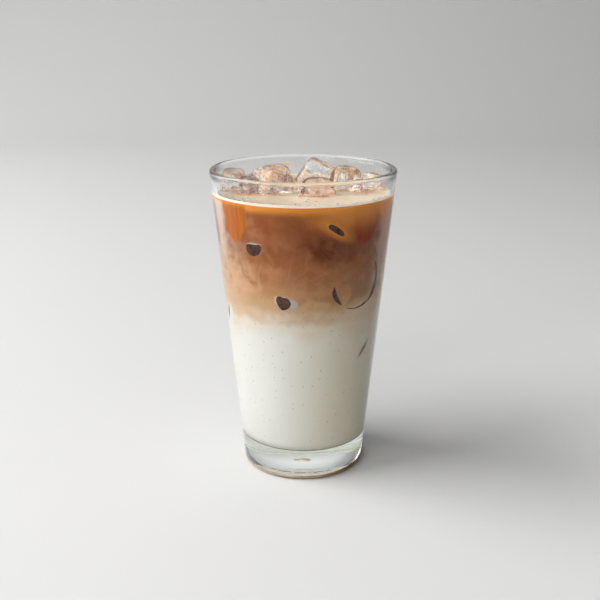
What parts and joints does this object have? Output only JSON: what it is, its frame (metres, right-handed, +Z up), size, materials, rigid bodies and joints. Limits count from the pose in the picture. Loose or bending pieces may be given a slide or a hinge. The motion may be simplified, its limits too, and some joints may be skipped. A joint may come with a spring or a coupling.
{
  "type": "iced latte",
  "caption": "Iced latte in a tall tapered drinking glass: white milk below, coffee poured over it, and melted ice cubes standing out of the top.",
  "frame": {"origin": "middle of the ring that the glass stands on, in the plane of the table", "axes": "+Z up along the axis of the glass, -Y towards the viewer of the picture, +X to the viewer's right"},
  "size_m": [0.089, 0.089, 0.1503],
  "materials": {
    "glass": "clear pressed glass, polished by fire",
    "milk": "wet, opaque",
    "coffee": "wet, cloudy",
    "ice": "wet, melted smooth"
  },
  "bodies": {
    "root": {"glass": "glass", "milk": "milk", "coffee": "coffee", "ice_left": "ice", "ice_mid_left": "ice", "ice_far_left": "ice", "ice_back_left": "ice", "ice_back": "ice", "ice_back_right": "ice", "ice_mid_right": "ice", "ice_right": "ice", "ice_front": "ice"}
  },
  "joints": []
}
